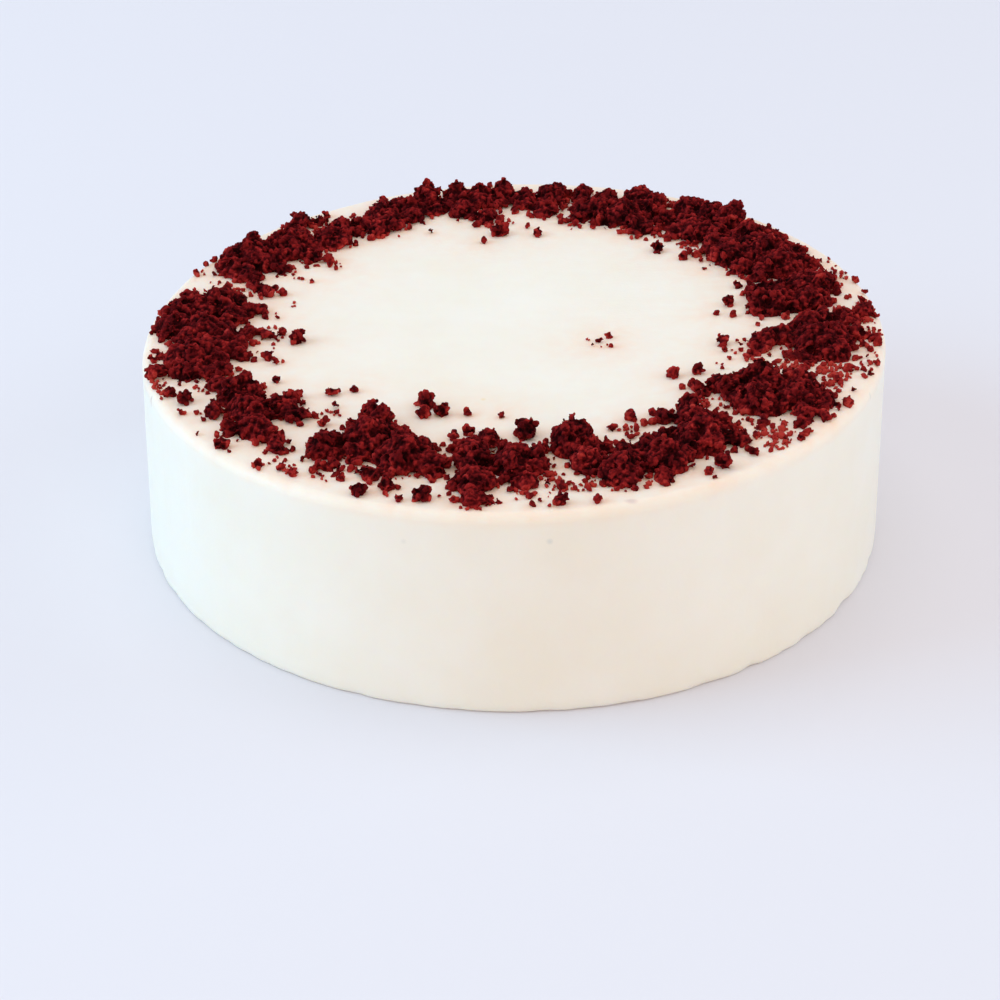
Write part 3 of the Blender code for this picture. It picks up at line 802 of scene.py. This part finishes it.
# Places with more fine grains: angle, radius, spread in degrees, spread in millimetres, how many, largest
FINE_PATCHES = [
    (232.5, 96, 1.3, 1.3, 16, 0.9), (223.5, 67, 1.2, 1.8, 10, 0.8), (297, 68, 1.2, 2.0, 22, 1.2),
    (316, 97, 2.2, 1.8, 46, 1.0), (337, 88.5, 2.6, 3.2, 130, 1.1), (197, 101, 2.0, 1.0, 34, 0.9),
    (262, 96, 4.0, 3.0, 16, 0.7), (272, 92, 2.5, 1.8, 20, 0.8), (342, 25, 4.0, 2.5, 5, 0.6),
    (350, 97, 4.0, 2.5, 44, 1.0), (1, 98, 4.0, 2.5, 36, 0.9), (94, 74, 2.0, 2.5, 34, 1.0),
    (340, 62, 4.0, 2.0, 5, 0.6), (186, 66, 6.0, 4.0, 3, 0.6), (144, 77, 2.0, 2.5, 12, 0.8),
    (238, 95, 3.0, 2.0, 8, 0.7), (318, 68, 1.5, 2.0, 24, 0.9), (20, 98, 2.5, 2.0, 26, 0.9),
    (283, 90, 1.6, 1.0, 14, 0.8), (47, 74, 2.0, 1.6, 20, 0.9), (159, 88, 1.5, 3.0, 14, 0.8),
    (317.5, 89, 1.6, 3.0, 36, 1.2), (320, 94, 2.2, 1.8, 30, 1.1), (342, 90, 1.4, 6.0, 66, 1.3),
    (341.5, 76, 1.2, 5.0, 36, 1.2), (276.5, 84, 1.2, 3.0, 24, 1.2), (279, 90, 2.0, 1.6, 22, 1.0),
]


class FineGrains:
    """The fine grains' places, gathered one by one; none lies past the rim or under a heap."""

    def __init__(self, above):
        self.above = above
        self.centres = []
        self.radii = []

    def place(self, turn, radius, size):
        """A grain at an angle and a radius."""
        across, along = radius * math.cos(turn), radius * math.sin(turn)
        if radius < FINE_OUTERMOST and self.above.hit(across, along) is None:
            self.centres.append((across, along, top_plane(across) + size * FINE_LIFT))
            self.radii.append(size)


def place_fringe(grains, crumb_tree, draw):
    """Small groups of grains all round the heaps, the more of them the nearer."""
    inner, outer = FRINGE_BAND
    groups = 0
    while groups < FRINGE_GROUPS:
        turn = draw.uniform(0.0, math.tau)
        radius = math.sqrt(draw.uniform(inner ** 2, outer ** 2))
        spot = Vector((radius * math.cos(turn), radius * math.sin(turn), 0.0))
        if draw.random() > math.exp(-crumb_tree.find(spot)[2] / FRINGE_DECAY):
            continue
        groups += 1
        for _ in range(draw.integers(*GROUP_SIZES)):
            apart = draw.normal(0.0, GROUP_SPREAD, 2)
            grains.place(turn + apart[0] / radius, radius + apart[1], draw.triangular(*FINE_RADII) * MM)


def place_patches(grains, draw):
    """The patches where the grains lie thicker."""
    for angle, middle, wide, deep, count, largest in FINE_PATCHES:
        for _ in range(count):
            turn = math.radians(draw.normal(angle, wide))
            radius = draw.normal(middle, deep) * MM
            grains.place(turn, radius, draw.triangular(*PATCH_RADII, largest) * MM)


def make_fine_grains(crumb_tree, above, finish):
    """The fine loose grains round the heaps, each a small rough ball lying in the frosting."""
    draw = np.random.default_rng(FINE_SEED)
    found = FineGrains(above)
    place_fringe(found, crumb_tree, draw)
    place_patches(found, draw)
    count = len(found.centres)
    points, faces = lumps(found.centres, found.radii, draw, jitter=FINE_ROUGHNESS, stretch=FINE_ROUGHNESS)
    grains = mesh_object("fine_crumbs", points.tolist(), faces.tolist())
    add_value(grains.data, "tone", np.repeat(draw.uniform(*FINE_TONES, count), len(points) // count))
    # The fine grains get one level of painted shade and the full painted glow of crumbs on the frosting
    add_value(grains.data, "relief_shade", np.full(len(points), FINE_RELIEF_SHADE))
    add_value(grains.data, "frosting_glow", np.ones(len(points)))
    grains.data.materials.append(finish)
    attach(grains, "root")


# Materials

# A colour mix node's two colours among its inputs, and its colour among its outputs
MIX_FIRST, MIX_SECOND = 6, 7
MIX_RESULT = 2
MARK_CORE = 0.35


class Nodes:
    """A material's nodes, made and joined by short calls."""

    def __init__(self, name):
        self.material = bpy.data.materials.new(name)
        self.material.use_nodes = True
        self.tree = self.material.node_tree
        self.shader = self.tree.nodes["Principled BSDF"]

    def add(self, kind, **settings):
        """A node with its settings."""
        node = self.tree.nodes.new(kind)
        for name, value in settings.items():
            setattr(node, name, value)
        return node

    def join(self, output, socket):
        """Joins an output to an input."""
        self.tree.links.new(output, socket)

    def place(self):
        """The point being shaded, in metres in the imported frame."""
        return self.add("ShaderNodeNewGeometry").outputs["Position"]

    def stretched(self, vector, scale):
        """A vector with each of its parts scaled."""
        mapping = self.add("ShaderNodeMapping")
        mapping.inputs["Scale"].default_value = scale
        self.join(vector, mapping.inputs["Vector"])
        return mapping.outputs["Vector"]

    def noise(self, vector, size, detail=3.0, roughness=0.55):
        """Noise from 0 to 1 with features of this size in metres."""
        node = self.add("ShaderNodeTexNoise")
        node.inputs["Scale"].default_value = 1.0 / size
        node.inputs["Detail"].default_value = detail
        node.inputs["Roughness"].default_value = roughness
        self.join(vector, node.inputs["Vector"])
        return node.outputs["Fac"]

    def ramp(self, value, stops):
        """Colours by a value, from stops of (position, colour)."""
        node = self.add("ShaderNodeValToRGB")
        while len(node.color_ramp.elements) < len(stops):
            node.color_ramp.elements.new(0.5)
        for element, (position, colour) in zip(node.color_ramp.elements, stops):
            element.position = position
            element.color = (*colour, 1.0)
        self.join(value, node.inputs["Fac"])
        return node.outputs["Color"]

    def spread(self, value, low, high, to_low=0.0, to_high=1.0):
        """A value moved from one range to another and kept in it."""
        node = self.add("ShaderNodeMapRange")
        for name, number in (("From Min", low), ("From Max", high), ("To Min", to_low), ("To Max", to_high)):
            node.inputs[name].default_value = number
        self.join(value, node.inputs["Value"])
        return node.outputs["Result"]

    def math(self, kind, first, second):
        """Two values added or multiplied, either of which may be a number."""
        node = self.add("ShaderNodeMath", operation=kind)
        for socket, value in zip(node.inputs, (first, second)):
            if isinstance(value, (int, float)):
                socket.default_value = value
            else:
                self.join(value, socket)
        return node.outputs["Value"]

    def mix(self, share, first, second):
        """Two colours mixed; each may be a colour or a socket."""
        node = self.add("ShaderNodeMix", data_type="RGBA")
        sockets = (node.inputs["Factor"], node.inputs[MIX_FIRST], node.inputs[MIX_SECOND])
        for socket, value in zip(sockets, (share, first, second)):
            if isinstance(value, (int, float)):
                socket.default_value = value
            elif isinstance(value, tuple):
                socket.default_value = (*value, 1.0)
            else:
                self.join(value, socket)
        return node.outputs[MIX_RESULT]

    def nearness(self, place, middle, halves):
        """A share that falls from 1 at a middle to 0 at the half sizes round it."""
        offset = self.add("ShaderNodeVectorMath", operation="SUBTRACT")
        offset.inputs[1].default_value = middle
        self.join(place, offset.inputs[0])
        scaled = self.add("ShaderNodeVectorMath", operation="DIVIDE")
        scaled.inputs[1].default_value = halves
        self.join(offset.outputs["Vector"], scaled.inputs[0])
        length = self.add("ShaderNodeVectorMath", operation="LENGTH")
        self.join(scaled.outputs["Vector"], length.inputs[0])
        return self.spread(length.outputs["Value"], MARK_CORE, 1.0, 1.0, 0.0)

    def attribute(self, name):
        """A mesh's own value for each point."""
        return self.add("ShaderNodeAttribute", attribute_name=name).outputs["Fac"]

    def bump(self, height, distance, below=None):
        """A normal raised by a height, over another bump."""
        node = self.add("ShaderNodeBump")
        node.inputs["Distance"].default_value = distance
        self.join(height, node.inputs["Height"])
        if below is not None:
            self.join(below, node.inputs["Normal"])
        return node.outputs["Normal"]


CREAM = (0.90, 0.832, 0.728)
WARM_CREAM = (0.88, 0.795, 0.668)
# The crumbs' stain together with painted warm shade round them
PEACH_STAIN_AND_SHADE = (0.94, 0.65, 0.48)
GREY = (0.62, 0.60, 0.56)
ROSE_GREY = (0.52, 0.34, 0.36)
AMBER = (0.86, 0.66, 0.36)

# The frosting's features: their sizes, and how far the streaks and pores stand out
BLOTCH_SIZE = 32 * MM
STAIN_AND_SHADE_GRAIN = 4 * MM
STREAK_SIZE = 5 * MM
STREAK_STRETCH = (0.3, 1.0, 0.12)
STREAK_DEPTH = 0.16 * MM
PORE_SIZE = 1.1 * MM
PORE_DEPTH = 0.05 * MM
# How far the peach stain and painted warm shade can go
STAIN_AND_SHADE_STRENGTH = 0.94

# Small marks in the frosting: the middle and the half sizes in millimetres, the colour and its share
MARKS = [
    ((9.1, -103.1, 51.2), (1.1, 1.1, 1.1), GREY, 0.45),
    ((-27.8, -99.7, 49.2), (1.0, 1.0, 1.0), GREY, 0.22),
    ((95.8, -39.1, 60.0), (0.9, 0.9, 2.8), GREY, 0.75),
    ((89.1, -52.7, 61.0), (0.9, 0.9, 0.9), GREY, 0.5),
    ((71.8, -74.5, 60.0), (0.9, 0.9, 0.9), GREY, 0.5),
    ((29.5, -96.6, 59.2), (2.0, 1.2, 1.2), ROSE_GREY, 0.40),
    ((4.3, -103.2, 57.8), (0.9, 0.9, 0.7), AMBER, 0.45),
    ((-8.1, -40.4, 58.6), (0.9, 0.9, 0.9), AMBER, 0.6),
    ((-98.1, -32.4, 54.1), (0.8, 0.8, 2.6), ROSE_GREY, 0.55),
]


def frosting_material():
    """Cream cheese frosting: ivory, satin, faintly streaked, and tinted peach a little beside the crumbs,
    partly by a real stain and partly by painted warm shade.
    """
    nodes = Nodes("cream_frosting")
    place = nodes.place()
    blotches = nodes.spread(nodes.noise(place, BLOTCH_SIZE), 0.35, 0.7)
    colour = nodes.mix(blotches, CREAM, WARM_CREAM)
    # Painted warm shade round the crumbs, mixed with their real peach stain
    uneven = nodes.spread(nodes.noise(place, STAIN_AND_SHADE_GRAIN), 0.3, 0.7, 0.45, 1.0)
    uneven_stain_and_shade = nodes.math("MULTIPLY", nodes.attribute("stain_and_shade"), uneven)
    colour = nodes.mix(nodes.spread(uneven_stain_and_shade, 0.01, 0.82, 0.0, STAIN_AND_SHADE_STRENGTH), colour, PEACH_STAIN_AND_SHADE)
    for middle, halves, tint, share in MARKS:
        near = nodes.nearness(place, [step * MM for step in middle], [half * MM for half in halves])
        colour = nodes.mix(nodes.math("MULTIPLY", near, share), colour, tint)
    nodes.join(colour, nodes.shader.inputs["Base Color"])
    streaks = nodes.noise(nodes.stretched(place, STREAK_STRETCH), STREAK_SIZE, detail=4.0)
    nodes.join(nodes.spread(streaks, 0.3, 0.7, 0.42, 0.58), nodes.shader.inputs["Roughness"])
    bump = nodes.bump(streaks, STREAK_DEPTH)
    bump = nodes.bump(nodes.noise(place, PORE_SIZE, roughness=0.6), PORE_DEPTH, bump)
    nodes.join(bump, nodes.shader.inputs["Normal"])
    nodes.shader.inputs["Subsurface Weight"].default_value = 0.35
    nodes.shader.inputs["Subsurface Radius"].default_value = (1.0, 0.72, 0.45)
    nodes.shader.inputs["Subsurface Scale"].default_value = 3.0 * MM
    nodes.shader.inputs["Specular IOR Level"].default_value = 0.38
    return nodes.material


# A crumb's reds by its value, from the painted shade of its pits to the painted glow of its thinnest edges
CRUMB_REDS = [
    (0.12, (0.008, 0.0005, 0.0008)), (0.36, (0.037, 0.0018, 0.0026)), (0.60, (0.112, 0.0050, 0.0062)),
    (0.85, (0.29, 0.015, 0.014)), (1.0, (0.44, 0.040, 0.030)),
]

# How much each thing moves a crumb's value along its reds, and the sizes of its features
TONE_SHARE = 0.42
RELIEF_SHADE_SHARE = 0.50
SPECKLE_SHARE, SPECKLE_SIZE = 0.38, 0.5 * MM
PATCH_SHARE, PATCH_SIZE = 0.11, 5.5 * MM
GLOW_SHARE, GLOW_SIZE = 0.26, 7 * MM
CRUMB_DARKENING = 0.19
CRUMB_BUMP_SIZE = 0.45 * MM
CRUMB_BUMP_DEPTH = 0.16 * MM
# How much lighter the fine grains' copy of the crumbs' material is: a painted glow, as of light through their
# thin bodies
FINE_PAINTED_GLOW = 0.20


def crumb_material(name, light=0.0):
    """Red velvet crumb: maroon, matt and grainy, with painted shade in its hollows and a painted glow near
    the frosting.
    """
    nodes = Nodes(name)
    place = nodes.place()
    tone = nodes.math("MULTIPLY", nodes.attribute("tone"), TONE_SHARE)
    # Painted shade in the hollows and painted light on the knobs
    relief_shade = nodes.math("MULTIPLY", nodes.attribute("relief_shade"), RELIEF_SHADE_SHARE)
    speckle = nodes.math("MULTIPLY", nodes.noise(place, SPECKLE_SIZE, detail=2.0), SPECKLE_SHARE)
    cloudy = nodes.spread(nodes.noise(place, PATCH_SIZE, detail=1.0), 0.3, 0.7, -1.0)
    patches = nodes.math("MULTIPLY", cloudy, PATCH_SHARE)
    # Painted glow, in patches, on the crumbs near the frosting
    lit_through = nodes.spread(nodes.noise(place, GLOW_SIZE, detail=1.0), 0.4, 0.7)
    glow = nodes.math("MULTIPLY", nodes.attribute("frosting_glow"), lit_through)
    # The light value lifts the whole crumb: a painted glow for the fine grains' thin bodies
    speckle = nodes.math("ADD", speckle, light - CRUMB_DARKENING)
    value = nodes.math("ADD", nodes.math("ADD", tone, relief_shade), speckle)
    value = nodes.math("ADD", nodes.math("ADD", value, patches), nodes.math("MULTIPLY", glow, GLOW_SHARE))
    colour = nodes.ramp(value, CRUMB_REDS)
    nodes.join(colour, nodes.shader.inputs["Base Color"])
    nodes.shader.inputs["Roughness"].default_value = 0.85
    nodes.shader.inputs["Specular IOR Level"].default_value = 0.02
    bump = nodes.bump(nodes.noise(place, CRUMB_BUMP_SIZE, roughness=0.6), CRUMB_BUMP_DEPTH)
    nodes.join(bump, nodes.shader.inputs["Normal"])
    nodes.shader.inputs["Subsurface Weight"].default_value = 0.15
    nodes.shader.inputs["Subsurface Radius"].default_value = (1.0, 0.10, 0.06)
    nodes.shader.inputs["Subsurface Scale"].default_value = 1.0 * MM
    return nodes.material


PALE_FLOOR = (0.770, 0.735, 0.765, 1.0)


def floor_material():
    """A plain pale floor with a faint cool cast."""
    nodes = Nodes("pale_floor")
    nodes.shader.inputs["Base Color"].default_value = PALE_FLOOR
    nodes.shader.inputs["Roughness"].default_value = 0.9
    return nodes.material


# Stage, lights and camera

CAMERA_PITCH = math.radians(30.0)
CAMERA_DISTANCE = 0.866
CAMERA_LENS = 108.0
CAMERA_SENSOR = 36.0
CAMERA_SHIFT = (-0.0136, 0.0133)
CAMERA_CLIP = (0.01, 50.0)
FLOOR_HALF = 4.0
SKY_COLOUR = (0.94, 0.94, 0.99, 1.0)
SKY_STRENGTH = 0.76

# The soft lights: name, place, size in metres, power in watts, colour
LIGHTS = [
    ("window_left", (-1.7, -0.1, 0.8), 1.4, 23.2, (0.37, 0.73, 1.0)),
    ("above", (-0.2, 0.5, 1.9), 1.2, 4.6, (1.0, 0.97, 0.96)),
    ("front_fill", (0.24, -1.3, 0.75), 1.0, 4.1, (1.0, 0.80, 0.54)),
    ("right_fill", (1.85, 0.25, 0.7), 1.4, 12.0, (0.58, 0.83, 1.0)),
]


def make_camera():
    """The camera, where the photograph was taken from."""
    camera = bpy.data.objects.new("camera", bpy.data.cameras.new("camera"))
    bpy.context.scene.collection.objects.link(camera)
    back = CAMERA_DISTANCE * math.cos(CAMERA_PITCH)
    camera.location = (0.0, -back, CAMERA_DISTANCE * math.sin(CAMERA_PITCH))
    camera.rotation_euler = (math.pi / 2 - CAMERA_PITCH, 0.0, 0.0)
    camera.data.sensor_width = CAMERA_SENSOR
    camera.data.lens = CAMERA_LENS
    camera.data.shift_x, camera.data.shift_y = CAMERA_SHIFT
    camera.data.clip_start, camera.data.clip_end = CAMERA_CLIP
    bpy.context.scene.camera = camera


def make_floor():
    """The plain pale floor."""
    corners = [(-FLOOR_HALF, -FLOOR_HALF, 0.0), (FLOOR_HALF, -FLOOR_HALF, 0.0),
               (FLOOR_HALF, FLOOR_HALF, 0.0), (-FLOOR_HALF, FLOOR_HALF, 0.0)]
    floor = mesh_object("floor", corners, [(0, 1, 2, 3)])
    floor.data.materials.append(floor_material())


def soft_light(name, place, size, power, colour):
    """A large soft light that faces the cake."""
    light = bpy.data.lights.new(name, "AREA")
    light.shape = "SQUARE"
    light.size = size
    light.energy = power
    light.color = colour
    lamp = bpy.data.objects.new(name, light)
    lamp.location = place
    lamp.rotation_euler = (-Vector(place)).to_track_quat("-Z", "Y").to_euler()
    bpy.context.scene.collection.objects.link(lamp)


def make_lights():
    """Plain soft studio light: cool from the left and the right, and a weaker warm fill in front."""
    world = bpy.data.worlds.new("studio")
    bpy.context.scene.world = world
    world.use_nodes = True
    background = world.node_tree.nodes["Background"]
    background.inputs["Color"].default_value = SKY_COLOUR
    background.inputs["Strength"].default_value = SKY_STRENGTH
    for name, place, size, power, colour in LIGHTS:
        soft_light(name, place, size, power, colour)
    view = bpy.context.scene.view_settings
    view.view_transform = "Standard"
    view.look = "None"
    view.exposure = 0.0


def make_cake():
    """The whole cake in its looks."""
    crumb_tree = crumb_plan_tree()
    above = HeapsFromAbove()
    make_frosting(crumb_tree)
    finish = crumb_material("red_crumb")
    grit = [make_heap(index, name, above, finish) for index, name in enumerate(HEAPS)]
    make_grit(grit, finish)
    make_strays(finish)
    draw = np.random.default_rng(EDGE_SEED)
    make_clumps("edge_crumbs", seam_and_edge_clumps(above, draw), EDGE_VOXEL, draw, finish)
    # The fine grains take a lighter copy of the crumbs' material: a painted glow
    make_fine_grains(crumb_tree, above, crumb_material("fine_red_crumb", FINE_PAINTED_GLOW))


make_camera()
make_floor()
make_lights()
make_cake()
